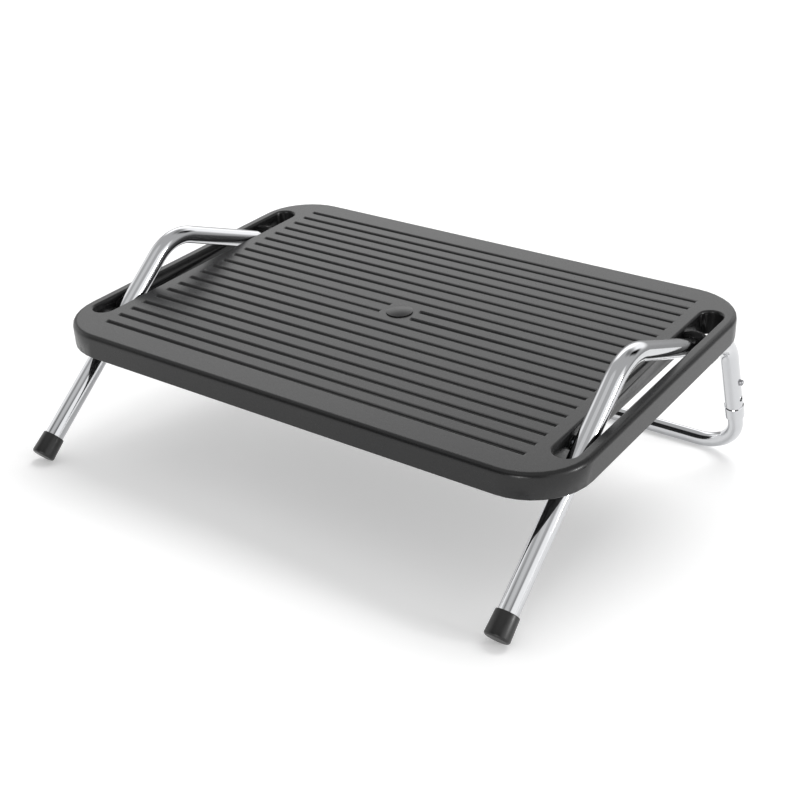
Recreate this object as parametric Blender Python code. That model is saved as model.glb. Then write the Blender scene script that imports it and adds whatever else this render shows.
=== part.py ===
"""Footrest: a ribbed moulded platform held in two bent side tubes, with a telescoping rear bar.

X runs across the footrest, Y from front to rear, Z up. The origin lies on the floor,
under the middle of the footprint. Platform pieces are modelled in the platform's own
axes: X across, Y from its front face to the rear, Z up from its top face.
"""

import math

import bmesh
import bpy
from mathutils import Matrix, Vector

MM = 0.001

# Fits between pieces
SEAT_GAP = 0.3 * MM
SLIDE_GAP = 0.2 * MM
SCREW_GAP = 0.2 * MM
NUB_GAP = 0.25 * MM
LEAF_GAP = 0.15 * MM
OVERRUN = 6 * MM

# How finely round stretches are stepped
TUBE_SIDES = 20
BEND_STEPS = 8
CORNER_STEPS = 9
SLOT_END_STEPS = 10
EDGE_STEPS = 4
ARCH_STEPS = 12
ROUND_SIDES = 24
SCREW_SIDES = 16
DOME_STEPS = 5
SHARP_ANGLE = math.radians(35)

# Side tubes: a front leg, a falling run over the platform and a rear leg, in one plane
TUBE_RADIUS = 7.5 * MM
TUBE_WALL = 0.8 * MM
FRONT_LEG_ANGLE = math.radians(47.4)
RUN_FALL = math.radians(12.4)
RUN_SINK = 15.12 * MM
RUN_PAST_BRIDGE = 74.87 * MM
REAR_LEG_ANGLE = math.radians(59.2)
FRONT_BEND_RADIUS = 42 * MM
REAR_BEND_RADIUS = 35 * MM
SLEEVE_MOUTH_HEIGHT = 46.4 * MM

# Thin ring round the mouth of each rear leg
FERRULE_LENGTH = 13 * MM
FERRULE_WALL = 0.5 * MM

# Rear bar: a U whose legs slide in the rear legs of the side tubes
BAR_WALL = 0.8 * MM
BAR_BEND_RADIUS = 38 * MM
BAR_END_ABOVE_NUB = 12 * MM

# Snap buttons: a nub on a folded leaf spring inside each leg of the rear bar
NUB_SHARE = 0.6085
NUB_RADIUS = 2.5 * MM
NUB_PROUD = 2.7 * MM
NUB_DOME = 1.2 * MM
HEIGHT_STEP = 20 * MM
LEAF_THICKNESS = 0.5 * MM
LEAF_WIDTH = 6 * MM
LEAF_LENGTH = 30 * MM
LEAF_TOP = 5 * MM
LEAF_FOLD_RADIUS = 1.4 * MM

# Rubber caps on the front feet
CAP_LENGTH = 18.5 * MM
CAP_FLOOR = 4 * MM
CAP_BOTTOM_RADIUS = 9.3 * MM
CAP_TOP_RADIUS = 8.7 * MM
CAP_EDGE_RADIUS = 2 * MM
CAP_RIM_RADIUS = 0.6 * MM

# Platform moulding
PLATFORM_WIDTH = 462 * MM
PLATFORM_DEPTH = 318 * MM
PLATFORM_HEIGHT = 20 * MM
PLATFORM_TILT = math.radians(10)
CORNER_RADIUS = 47 * MM
TOP_EDGE_RADIUS = 4 * MM
BOTTOM_EDGE = 1 * MM
SKIN = 3.2 * MM
SKIRT = 3 * MM
RIB = 2 * MM
POCKET_COLUMNS = 11
POCKET_ROWS = 7

# Long slots beside the tread, which the side tubes pass through, and the rails outside them
RAIL_WIDTH = 9.6 * MM
SLOT_FRONT = 35 * MM
SLOT_REAR = 34 * MM
SLOT_INNER_GAP = 1.5 * MM
SLOT_OUTER_GAP = 1.9 * MM
SLOT_WALL = 4 * MM
SLOT_EDGE_RADIUS = 2 * MM

# Grooves across the tread
GROOVE_FRONT = 26.9 * MM
GROOVE_REAR = 20 * MM
GROOVE_PITCH = 13.97 * MM
GROOVE_WIDTH = 3.8 * MM
GROOVE_FLOOR_WIDTH = 1.8 * MM
GROOVE_DEPTH = 1.5 * MM
GROOVE_END_MARGIN = 11.5 * MM
BARE_RING_RADIUS = 16 * MM

# Plug in the middle of the tread
PLUG_RADIUS = 10.75 * MM
PLUG_RISE = 2.2 * MM
PLUG_RIM = 0.8 * MM
PLUG_STEM_RADIUS = 5.8 * MM
PLUG_BARB = 0.45 * MM
PLUG_BARB_LENGTH = 2.5 * MM

# Arched bridges that hold the platform down on the falling runs, and straps below them
BRIDGE_FROM_REAR = 70 * MM
BRIDGE_LENGTH = 8 * MM
BRIDGE_THICKNESS = 4.7 * MM
STRAP_LENGTH = 12 * MM
STRAP_THICKNESS = 2 * MM
STRAP_HUMP_INSET = 1 * MM
STRAP_TONGUE = 7.8 * MM
STRAP_SCREW_FROM_SLOT = 3 * MM
STRAP_END = 4.5 * MM
BOSS_WALL = 3 * MM

# Screws
STRAP_SCREW_RADIUS = 1.5 * MM
STRAP_SCREW_BITE = 9 * MM
STRAP_HEAD_RADIUS = 2.7 * MM
STRAP_HEAD_HEIGHT = 2 * MM
FRONT_SCREW_RADIUS = 2.5 * MM
FRONT_HEAD_RADIUS = 4.2 * MM
FRONT_HEAD_HEIGHT = 2.8 * MM
FRONT_SCREW_PLACE = 69.1 * MM
FRONT_SCREW_DEPTH = 10 * MM
FRONT_SCREW_ALONG_LEG = 141.4 * MM
OUTER_SKIN = 2.5 * MM
SPACER_WALL = 2.8 * MM
RECESS_SHARE = 0.5

# Worked out from the sizes above
SLOT_OUTER = PLATFORM_WIDTH / 2 - RAIL_WIDTH
SIDE_X = SLOT_OUTER - SLOT_OUTER_GAP - TUBE_RADIUS
SLOT_INNER = SIDE_X - TUBE_RADIUS - SLOT_INNER_GAP
SLOT_LENGTH = PLATFORM_DEPTH - SLOT_FRONT - SLOT_REAR
BRIDGE_PLACE = PLATFORM_DEPTH - BRIDGE_FROM_REAR
GROOVE_COUNT = 1 + int((PLATFORM_DEPTH - GROOVE_FRONT - GROOVE_REAR) / GROOVE_PITCH)
BAR_RADIUS = TUBE_RADIUS - TUBE_WALL - SLIDE_GAP
BAR_BORE = BAR_RADIUS - BAR_WALL
CAP_BORE = TUBE_RADIUS + SLIDE_GAP
STRAP_OUTER_SCREW_X = SLOT_OUTER + STRAP_SCREW_FROM_SLOT
STRAP_INNER_SCREW_X = SLOT_INNER - STRAP_TONGUE
BOSS_RADIUS = STRAP_SCREW_RADIUS + BOSS_WALL

SIDES = {"left": -1, "right": 1}

BLACK_PLASTIC = ("black_plastic", (0.045, 0.045, 0.047), 0.5, 0.0)
CHROME = ("chrome", (0.82, 0.82, 0.82), 0.08, 1.0)
RUBBER = ("rubber", (0.02, 0.02, 0.02), 0.75, 0.0)
SPRING_STEEL = ("spring_steel", (0.18, 0.18, 0.18), 0.35, 1.0)
ZINC = ("zinc", (0.6, 0.6, 0.6), 0.3, 1.0)


def material(finish):
    """One Principled material for each finish."""
    name, colour, roughness, metallic = finish
    found = bpy.data.materials.get(name)
    if found:
        return found
    made = bpy.data.materials.new(name)
    made.use_nodes = True
    shader = made.node_tree.nodes["Principled BSDF"]
    shader.inputs["Base Color"].default_value = (*colour, 1.0)
    shader.inputs["Roughness"].default_value = roughness
    shader.inputs["Metallic"].default_value = metallic
    return made


def link(name, data, parent=None, matrix=None):
    made = bpy.data.objects.new(name, data)
    bpy.context.scene.collection.objects.link(made)
    made.parent = parent
    if matrix is not None:
        made.matrix_local = matrix
    return made


def piece(name, bm, finish, parent=None, matrix=None, smooth=True):
    """A named sub-part from a finished bmesh."""
    bmesh.ops.recalc_face_normals(bm, faces=bm.faces)
    mesh = bpy.data.meshes.new(name)
    bm.to_mesh(mesh)
    bm.free()
    mesh.materials.append(material(finish))
    if smooth:
        mesh.shade_smooth()
        mesh.set_sharp_from_angle(angle=SHARP_ANGLE)
    return link(name, mesh, parent, matrix)


def cutter(name, bm, parent=None, matrix=None):
    """A tool shape, which is not a sub-part itself."""
    made = piece(name, bm, BLACK_PLASTIC, parent, matrix, smooth=False)
    made.hide_render = True
    made.display_type = "WIRE"
    return made


def boolean(target, tool, operation):
    step = target.modifiers.new(tool.name, "BOOLEAN")
    step.operation = operation
    step.solver = "EXACT"
    step.object = tool


def add_loft(bm, rings, cyclic=False):
    """Skins a row of rings with equal counts; open rows get flat ends."""
    rows = [[bm.verts.new(point) for point in ring] for ring in rings]
    count = len(rows[0])
    pairs = list(zip(rows, rows[1:]))
    if cyclic:
        pairs.append((rows[-1], rows[0]))
    for low, high in pairs:
        for i in range(count):
            j = (i + 1) % count
            bm.faces.new((low[i], low[j], high[j], high[i]))
    if not cyclic:
        bm.faces.new(list(reversed(rows[0])))
        bm.faces.new(rows[-1])


def loft(rings, cyclic=False):
    bm = bmesh.new()
    add_loft(bm, rings, cyclic)
    return bm


def circle(radius, z, sides):
    turns = (2 * math.pi * i / sides for i in range(sides))
    return [Vector((radius * math.cos(turn), radius * math.sin(turn), z)) for turn in turns]


def turned(profile, sides, cyclic=False):
    """Turns a row of (radius, height) points about Z."""
    return loft([circle(radius, z, sides) for radius, z in profile], cyclic)


def add_box(bm, low, high):
    xs, ys, zs = zip(low, high)
    corners = ((0, 0), (1, 0), (1, 1), (0, 1))
    add_loft(bm, [[Vector((xs[i], ys[j], z)) for i, j in corners] for z in zs])


def add_rod(bm, start, end, radius, sides):
    """A plain round rod between two points."""
    axis = end - start
    turn = axis.to_track_quat("Z", "Y").to_matrix().to_4x4()
    place = Matrix.Translation(start) @ turn
    add_loft(bm, [[place @ point for point in circle(radius, z, sides)] for z in (0, axis.length)])


def add_arc(points, centre, radius, start, end, steps):
    for i in range(steps + 1):
        turn = start + (end - start) * i / steps
        points.append((centre[0] + radius * math.cos(turn), centre[1] + radius * math.sin(turn)))


def rounded_rectangle(inset):
    """The platform's outline, drawn in by a distance."""
    radius = CORNER_RADIUS - inset
    x = PLATFORM_WIDTH / 2 - CORNER_RADIUS
    rear = PLATFORM_DEPTH - CORNER_RADIUS
    points = []
    for i, centre in enumerate(((x, CORNER_RADIUS), (x, rear), (-x, rear), (-x, CORNER_RADIUS))):
        start = (i - 1) * math.pi / 2
        add_arc(points, centre, radius, start, start + math.pi / 2, CORNER_STEPS)
    return points


def slot_outline(side, grow):
    """A slot's outline with round ends, widened by a distance."""
    radius = (SLOT_OUTER - SLOT_INNER) / 2
    x = side * (SLOT_INNER + SLOT_OUTER) / 2
    points = []
    rear = SLOT_FRONT + SLOT_LENGTH - radius
    add_arc(points, (x, rear), radius + grow, 0, math.pi, SLOT_END_STEPS)
    add_arc(points, (x, SLOT_FRONT + radius), radius + grow, math.pi, 2 * math.pi, SLOT_END_STEPS)
    return points


def at_height(outline, z):
    return [Vector((x, y, z)) for x, y in outline]


def rounded_path(corners, radii):
    """Points and headings along straight stretches joined by bends."""
    path = [(corners[0], (corners[1] - corners[0]).normalized())]
    for before, corner, after, radius in zip(corners, corners[1:], corners[2:], radii):
        entry = (corner - before).normalized()
        leave = (after - corner).normalized()
        bend = entry.angle(leave)
        inward = (leave - entry * entry.dot(leave)).normalized()
        start = corner - entry * radius * math.tan(bend / 2)
        centre = start + inward * radius
        for i in range(BEND_STEPS + 1):
            turn = bend * i / BEND_STEPS
            point = centre - inward * radius * math.cos(turn) + entry * radius * math.sin(turn)
            path.append((point, entry * math.cos(turn) + inward * math.sin(turn)))
    path.append((corners[-1], (corners[-1] - corners[-2]).normalized()))
    return path


def tube(path, across, outer, inner):
    """An open-ended tube along a flat path, whose plane is square to `across`."""
    def ring(point, heading, radius):
        level = heading.cross(across)
        return [point + (across * p.x + level * p.y) for p in circle(radius, 0, TUBE_SIDES)]

    rings = [ring(point, heading, outer) for point, heading in path]
    rings += [ring(point, heading, inner) for point, heading in reversed(path)]
    return loft(rings, cyclic=True)


def side_points():
    """Where a side tube's centre line turns, as (y, z), from the foot to the rear bar's corner.

    The front leg starts at the foot, and the run passes just under the tread at the bridge.
    They meet at the top bend.
    """
    angle = FRONT_LEG_ANGLE
    flat_radius = CAP_BOTTOM_RADIUS - CAP_EDGE_RADIUS
    foot = Vector((0, CAP_EDGE_RADIUS * (1 - math.sin(angle)) + flat_radius * math.cos(angle)))
    leg = Vector((math.cos(angle), math.sin(angle)))
    run = Vector((math.cos(RUN_FALL), -math.sin(RUN_FALL)))
    tread = Vector((math.cos(PLATFORM_TILT), math.sin(PLATFORM_TILT)))
    rise = Vector((-tread.y, tread.x))
    screw_to_bridge = tread * (BRIDGE_PLACE - FRONT_SCREW_PLACE) + rise * (FRONT_SCREW_DEPTH - RUN_SINK)
    held = foot + leg * FRONT_SCREW_ALONG_LEG + screw_to_bridge
    top = foot + leg * ((held - foot).cross(run) / leg.cross(run))
    turn = held + run * RUN_PAST_BRIDGE
    corner_y = turn.x + (turn.y - BAR_RADIUS) / math.tan(REAR_LEG_ANGLE)
    cap_front = flat_radius * math.sin(angle) + CAP_EDGE_RADIUS * (1 - math.cos(angle))
    middle = (corner_y + BAR_RADIUS - cap_front) / 2
    return [Vector((0, y - middle, z)) for y, z in (foot, top, turn, (corner_y, BAR_RADIUS))]


FOOT, TOP_BEND, REAR_BEND, BAR_CORNER = side_points()
LEG_HEADING = (TOP_BEND - FOOT).normalized()
RUN_HEADING = (REAR_BEND - TOP_BEND).normalized()
SLEEVE_HEADING = (REAR_BEND - BAR_CORNER).normalized()


def sleeve_length():
    """The straight stretch of a rear leg, from its bend to its mouth."""
    bend = REAR_BEND_RADIUS * math.tan((REAR_LEG_ANGLE - RUN_FALL) / 2)
    return (REAR_BEND - BAR_CORNER).length - bend - SLEEVE_MOUTH_HEIGHT


NUB_FROM_CORNER = SLEEVE_MOUTH_HEIGHT + NUB_SHARE * sleeve_length()


def platform_matrix():
    """The platform's place: its cross screws lie on the front legs' centre lines."""
    turn = Matrix.Rotation(PLATFORM_TILT, 4, "X")
    held = turn @ Vector((0, FRONT_SCREW_PLACE, -FRONT_SCREW_DEPTH))
    return Matrix.Translation(FOOT + LEG_HEADING * FRONT_SCREW_ALONG_LEG - held) @ turn


def run_height(y):
    """How high the falling run's centre line is, in platform axes, at a place along the platform."""
    start = platform_matrix().inverted() @ TOP_BEND
    heading = run_heading()
    return start.z + heading.z * (y - start.y) / heading.y


def run_heading():
    """The falling run's direction in platform axes."""
    return platform_matrix().inverted().to_3x3() @ RUN_HEADING


def along_leg_matrix(x, distance):
    """Axes at a place on a front leg, with Z along the leg."""
    turn = Matrix.Rotation(FRONT_LEG_ANGLE - math.pi / 2, 4, "X")
    return Matrix.Translation(FOOT + LEG_HEADING * distance + Vector((x, 0, 0))) @ turn


def rear_leg_matrix():
    """Axes at the middle of the rear bar, with Z up along the rear legs."""
    return Matrix.Translation(BAR_CORNER) @ Matrix.Rotation(math.pi / 2 - REAR_LEG_ANGLE, 4, "X")


def slab():
    """The platform's outer shape: rounded top edge, small chamfer below."""
    rings = [at_height(rounded_rectangle(BOTTOM_EDGE), -PLATFORM_HEIGHT)]
    rings.append(at_height(rounded_rectangle(0), BOTTOM_EDGE - PLATFORM_HEIGHT))
    for i in range(EDGE_STEPS + 1):
        turn = math.pi / 2 * i / EDGE_STEPS
        inset = TOP_EDGE_RADIUS * (1 - math.cos(turn))
        rings.append(at_height(rounded_rectangle(inset), TOP_EDGE_RADIUS * (math.sin(turn) - 1)))
    return loft(rings)


def slot_tools(bm):
    """Both slots, with their top edges rounded over."""
    for side in SIDES.values():
        rings = [at_height(slot_outline(side, 0), -PLATFORM_HEIGHT - OVERRUN)]
        for i in range(EDGE_STEPS + 1):
            turn = math.pi / 2 * i / EDGE_STEPS
            grow = SLOT_EDGE_RADIUS * (1 - math.cos(turn))
            rings.append(at_height(slot_outline(side, grow), SLOT_EDGE_RADIUS * (math.sin(turn) - 1)))
        rings.append(at_height(slot_outline(side, SLOT_EDGE_RADIUS), OVERRUN))
        add_loft(bm, rings)


def groove_spans(y):
    """The stretches that a groove covers: all of the tread, or both sides of the bare ring."""
    end = SLOT_INNER - GROOVE_END_MARGIN
    off = abs(y - PLATFORM_DEPTH / 2)
    if off >= BARE_RING_RADIUS:
        return [(-end, end)]
    gap = math.sqrt(BARE_RING_RADIUS ** 2 - off ** 2)
    return [(-end, -gap), (gap, end)]


def groove_tools(bm):
    """Every groove, tapering to its floor, and running out above the tread."""
    taper = (GROOVE_WIDTH - GROOVE_FLOOR_WIDTH) / 2
    for i in range(GROOVE_COUNT):
        y = GROOVE_FRONT + GROOVE_PITCH * i
        for start, end in groove_spans(y):
            rings = []
            for inset, z in ((taper, -GROOVE_DEPTH), (-taper, GROOVE_DEPTH)):
                half = GROOVE_WIDTH / 2 - inset
                rings.append([
                    Vector((start + inset, y - half, z)),
                    Vector((end - inset, y - half, z)),
                    Vector((end - inset, y + half, z)),
                    Vector((start + inset, y + half, z)),
                ])
            add_loft(bm, rings)


def pocket_tools(bm):
    """The hollows between the ribs under the tread."""
    half = SLOT_INNER - SLOT_WALL
    column = 2 * half / POCKET_COLUMNS
    row = (PLATFORM_DEPTH - 2 * SKIRT) / POCKET_ROWS
    for i in range(POCKET_COLUMNS):
        left = -half + column * i + (RIB / 2 if i else 0)
        right = -half + column * (i + 1) - (RIB / 2 if i < POCKET_COLUMNS - 1 else 0)
        for j in range(POCKET_ROWS):
            front = SKIRT + row * j + RIB / 2 if j else -OVERRUN
            rear = SKIRT + row * (j + 1) - RIB / 2 if j < POCKET_ROWS - 1 else PLATFORM_DEPTH + OVERRUN
            add_box(bm, (left, front, -PLATFORM_HEIGHT - OVERRUN), (right, rear, -SKIN))


def strap_screw_places():
    """Names and places of the strap screws, in platform axes."""
    places = {}
    for word, side in SIDES.items():
        places[f"strap_screw_inner_{word}"] = (side * STRAP_INNER_SCREW_X, BRIDGE_PLACE)
        places[f"strap_screw_outer_{word}"] = (side * STRAP_OUTER_SCREW_X, BRIDGE_PLACE)
    return places


def boss_tools(bm):
    """Material that stays in the pockets round the inner strap screws."""
    for side in SIDES.values():
        low = Vector((side * STRAP_INNER_SCREW_X, BRIDGE_PLACE, -PLATFORM_HEIGHT - 2 * OVERRUN))
        add_rod(bm, low, Vector((low.x, low.y, OVERRUN)), BOSS_RADIUS, SCREW_SIDES)


def hole_tools(bm):
    """The plug's hole, the strap screws' blind holes and the front screws' cross holes."""
    middle = PLATFORM_DEPTH / 2
    radius = PLUG_STEM_RADIUS + SCREW_GAP
    add_rod(bm, Vector((0, middle, -PLATFORM_HEIGHT)), Vector((0, middle, OVERRUN)), radius, ROUND_SIDES)
    depth = STRAP_SCREW_BITE + SCREW_GAP
    for x, y in strap_screw_places().values():
        low = Vector((x, y, -PLATFORM_HEIGHT - OVERRUN))
        high = Vector((x, y, -PLATFORM_HEIGHT + depth))
        add_rod(bm, low, high, STRAP_SCREW_RADIUS + SCREW_GAP, SCREW_SIDES)
    for side in SIDES.values():
        y, z = FRONT_SCREW_PLACE, -FRONT_SCREW_DEPTH
        start = Vector((side * (SLOT_INNER - SLOT_WALL - OVERRUN), y, z))
        end = Vector((side * (PLATFORM_WIDTH / 2 - OUTER_SKIN), y, z))
        add_rod(bm, start, end, FRONT_SCREW_RADIUS + SCREW_GAP, SCREW_SIDES)


def bridge_ring(y, side):
    """A bridge's section: a half ring over the slanting run."""
    height = run_height(y)
    stretch = 1 / abs(run_heading().y)
    inner = TUBE_RADIUS + SEAT_GAP
    points = []
    for radius, order in ((inner + BRIDGE_THICKNESS, 1), (inner, -1)):
        for i in range(ARCH_STEPS + 1)[::order]:
            turn = math.pi * i / ARCH_STEPS
            x = side * SIDE_X + radius * math.cos(turn)
            points.append(Vector((x, y, height + radius * stretch * math.sin(turn))))
    return points


def bridge_tools(bm):
    for side in SIDES.values():
        front = BRIDGE_PLACE - BRIDGE_LENGTH / 2
        add_loft(bm, [bridge_ring(front, side), bridge_ring(front + BRIDGE_LENGTH, side)])


def tool_from(name, fill, parent):
    bm = bmesh.new()
    fill(bm)
    return cutter(name, bm, parent)


def make_platform(parent):
    platform = piece("platform", slab(), BLACK_PLASTIC, parent)
    pockets = tool_from("pocket_tool", pocket_tools, parent)
    rings = [at_height(rounded_rectangle(SKIRT), z) for z in (-PLATFORM_HEIGHT - 2 * OVERRUN, OVERRUN)]
    boolean(pockets, cutter("pocket_limit", loft(rings), parent), "INTERSECT")
    boolean(pockets, tool_from("boss_tool", boss_tools, parent), "DIFFERENCE")
    boolean(platform, pockets, "DIFFERENCE")
    boolean(platform, tool_from("slot_tool", slot_tools, parent), "DIFFERENCE")
    boolean(platform, tool_from("groove_tool", groove_tools, parent), "DIFFERENCE")
    boolean(platform, tool_from("bridge_tool", bridge_tools, parent), "UNION")
    boolean(platform, tool_from("hole_tool", hole_tools, parent), "DIFFERENCE")


def make_plug(parent):
    """The domed plug in the middle of the tread, with a barbed stem."""
    under_skin = -SKIN - SEAT_GAP
    profile = []
    for i in range(DOME_STEPS):
        share = (i + 1) / (DOME_STEPS + 1)
        rise = PLUG_RIM + (PLUG_RISE - PLUG_RIM) * (1 - share ** 2)
        profile.append((PLUG_RADIUS * share, rise))
    profile.append((PLUG_RADIUS, PLUG_RIM))
    profile.append((PLUG_RADIUS, SEAT_GAP))
    profile.append((PLUG_STEM_RADIUS, SEAT_GAP))
    profile.append((PLUG_STEM_RADIUS, under_skin))
    profile.append((PLUG_STEM_RADIUS + PLUG_BARB, under_skin))
    profile.append((PLUG_STEM_RADIUS, under_skin - PLUG_BARB_LENGTH))
    place = Matrix.Translation((0, PLATFORM_DEPTH / 2, 0))
    piece("centre_plug", turned(profile, ROUND_SIDES), BLACK_PLASTIC, parent, place)


def strap_hump(word, side, parent):
    """The strap's half-round belly, along the slanting run."""
    heading = run_heading()
    centre = Vector((side * SIDE_X, BRIDGE_PLACE, run_height(BRIDGE_PLACE)))
    reach = heading * (STRAP_LENGTH + OVERRUN)
    radius = TUBE_RADIUS + SEAT_GAP + STRAP_THICKNESS
    bm = bmesh.new()
    add_rod(bm, centre - reach, centre + reach, radius, ROUND_SIDES)
    hump = cutter(f"strap_hump_{word}", bm, parent)
    half = STRAP_LENGTH / 2 - STRAP_HUMP_INSET
    top = -PLATFORM_HEIGHT - SEAT_GAP - STRAP_THICKNESS / 2
    bm = bmesh.new()
    low = (side * SIDE_X - 2 * radius, BRIDGE_PLACE - half, top - 2 * radius)
    add_box(bm, low, (side * SIDE_X + 2 * radius, BRIDGE_PLACE + half, top))
    boolean(hump, cutter(f"strap_limit_{word}", bm, parent), "INTERSECT")
    return hump


def strap_holes(word, side, parent):
    """The bore that clears the run, and the two screw holes."""
    heading = run_heading()
    centre = Vector((side * SIDE_X, BRIDGE_PLACE, run_height(BRIDGE_PLACE)))
    reach = heading * (STRAP_LENGTH + 2 * OVERRUN)
    bm = bmesh.new()
    add_rod(bm, centre - reach, centre + reach, TUBE_RADIUS + SEAT_GAP, ROUND_SIDES)
    bore = cutter(f"strap_bore_{word}", bm, parent)
    bm = bmesh.new()
    for x in (STRAP_INNER_SCREW_X, STRAP_OUTER_SCREW_X):
        low = Vector((side * x, BRIDGE_PLACE, -PLATFORM_HEIGHT - STRAP_THICKNESS - OVERRUN))
        high = Vector((low.x, low.y, -PLATFORM_HEIGHT + SEAT_GAP))
        add_rod(bm, low, high, STRAP_SCREW_RADIUS + SCREW_GAP, SCREW_SIDES)
    return bore, cutter(f"strap_screw_tool_{word}", bm, parent)


def make_strap(word, side, parent):
    """A strap under the run, screwed to the platform on both sides of the slot."""
    top = -PLATFORM_HEIGHT - SEAT_GAP
    ends = (STRAP_INNER_SCREW_X - STRAP_END, STRAP_OUTER_SCREW_X + STRAP_END)
    edges = sorted(side * x for x in ends)
    bm = bmesh.new()
    low = (edges[0], BRIDGE_PLACE - STRAP_LENGTH / 2, top - STRAP_THICKNESS)
    add_box(bm, low, (edges[1], BRIDGE_PLACE + STRAP_LENGTH / 2, top))
    strap = piece(f"rear_strap_{word}", bm, BLACK_PLASTIC, parent, smooth=False)
    boolean(strap, strap_hump(word, side, parent), "UNION")
    for tool in strap_holes(word, side, parent):
        boolean(strap, tool, "DIFFERENCE")


def screw_profile(radius, length, head_radius, head_height):
    """A pan-head screw along Z, head seat at zero and shank upward."""
    recess = head_radius * RECESS_SHARE
    deep = -head_height * RECESS_SHARE
    return [
        (recess, deep),
        (recess, -head_height),
        (head_radius * (1 + RECESS_SHARE) / 2, -head_height),
        (head_radius, deep),
        (head_radius, 0),
        (radius, 0),
        (radius, length - radius),
        (radius * RECESS_SHARE, length),
    ]


def make_strap_screws(parent):
    seat = -PLATFORM_HEIGHT - 2 * SEAT_GAP - STRAP_THICKNESS
    length = STRAP_SCREW_BITE + 2 * SEAT_GAP + STRAP_THICKNESS
    profile = screw_profile(STRAP_SCREW_RADIUS, length, STRAP_HEAD_RADIUS, STRAP_HEAD_HEIGHT)
    for name, (x, y) in strap_screw_places().items():
        piece(name, turned(profile, SCREW_SIDES), ZINC, parent, Matrix.Translation((x, y, seat)))


def make_front_fixings(word, side, parent):
    """The screw across a slot through the front leg, with a washer and a spacer beside the leg."""
    turn = Matrix.Rotation(side * math.pi / 2, 4, "Y")

    def across(x):
        return Matrix.Translation((side * x, FRONT_SCREW_PLACE, -FRONT_SCREW_DEPTH)) @ turn

    seat = SLOT_INNER - SLOT_WALL - SEAT_GAP
    length = PLATFORM_WIDTH / 2 - OUTER_SKIN - SEAT_GAP - seat
    profile = screw_profile(FRONT_SCREW_RADIUS, length, FRONT_HEAD_RADIUS, FRONT_HEAD_HEIGHT)
    piece(f"front_screw_{word}", turned(profile, SCREW_SIDES), ZINC, parent, across(seat))
    inner = FRONT_SCREW_RADIUS + SCREW_GAP
    outer = inner + SPACER_WALL
    stretches = {
        f"front_washer_{word}": (SLOT_INNER, SIDE_X - TUBE_RADIUS),
        f"front_spacer_{word}": (SIDE_X + TUBE_RADIUS, SLOT_OUTER),
    }
    for name, (start, end) in stretches.items():
        top = end - start - 2 * SEAT_GAP
        ring = [(outer, 0), (outer, top), (inner, top), (inner, 0)]
        piece(name, turned(ring, SCREW_SIDES, cyclic=True), BLACK_PLASTIC, parent, across(start + SEAT_GAP))


def make_side_tube(word, side, rear_legs):
    """A side tube, drilled for the front screw and for the snap button's two heights."""
    aside = Vector((side * SIDE_X, 0, 0))
    foot = FOOT + LEG_HEADING * (CAP_FLOOR + SEAT_GAP)
    mouth = BAR_CORNER + SLEEVE_HEADING * SLEEVE_MOUTH_HEIGHT
    corners = [aside + corner for corner in (foot, TOP_BEND, REAR_BEND, mouth)]
    path = rounded_path(corners, (FRONT_BEND_RADIUS, REAR_BEND_RADIUS))
    bm = tube(path, Vector((1, 0, 0)), TUBE_RADIUS, TUBE_RADIUS - TUBE_WALL)
    made = piece(f"side_tube_{word}", bm, CHROME)
    bm = bmesh.new()
    centre = aside + FOOT + LEG_HEADING * FRONT_SCREW_ALONG_LEG
    reach = Vector((TUBE_RADIUS + OVERRUN, 0, 0))
    add_rod(bm, centre - reach, centre + reach, FRONT_SCREW_RADIUS + SCREW_GAP, SCREW_SIDES)
    boolean(made, cutter(f"leg_hole_tool_{word}", bm), "DIFFERENCE")
    holes = tool_from(f"sleeve_hole_tool_{word}", lambda bm: nub_holes(bm, side, (0, HEIGHT_STEP)), rear_legs)
    boolean(made, holes, "DIFFERENCE")


def nub_holes(bm, side, drops):
    """Holes for a nub in a leg's outer wall, in the rear legs' axes, at one or more drops."""
    for drop in drops:
        z = NUB_FROM_CORNER - drop
        start = Vector((side * SIDE_X, 0, z))
        end = Vector((side * (SIDE_X + TUBE_RADIUS + OVERRUN), 0, z))
        add_rod(bm, start, end, NUB_RADIUS + NUB_GAP, SCREW_SIDES)


def make_ferrule(word, side, rear_legs):
    """The thin ring round a rear leg's mouth."""
    inner = TUBE_RADIUS + SLIDE_GAP
    outer = inner + FERRULE_WALL
    ring = [(outer, 0), (outer, FERRULE_LENGTH), (inner, FERRULE_LENGTH), (inner, 0)]
    place = Matrix.Translation((side * SIDE_X, 0, SLEEVE_MOUTH_HEIGHT))
    piece(f"sleeve_ferrule_{word}", turned(ring, TUBE_SIDES, cyclic=True), CHROME, rear_legs, place)


def make_rear_bar(slide):
    """The U that slides in both rear legs."""
    end = NUB_FROM_CORNER + BAR_END_ABOVE_NUB
    corners = [
        Vector((-SIDE_X, 0, end)),
        Vector((-SIDE_X, 0, 0)),
        Vector((SIDE_X, 0, 0)),
        Vector((SIDE_X, 0, end)),
    ]
    path = rounded_path(corners, (BAR_BEND_RADIUS, BAR_BEND_RADIUS))
    bar = piece("rear_u_bar", tube(path, Vector((0, 1, 0)), BAR_RADIUS, BAR_BORE), CHROME, slide)
    for word, side in SIDES.items():
        holes = tool_from(f"bar_hole_tool_{word}", lambda bm: nub_holes(bm, side, (0,)), slide)
        boolean(bar, holes, "DIFFERENCE")


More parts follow.
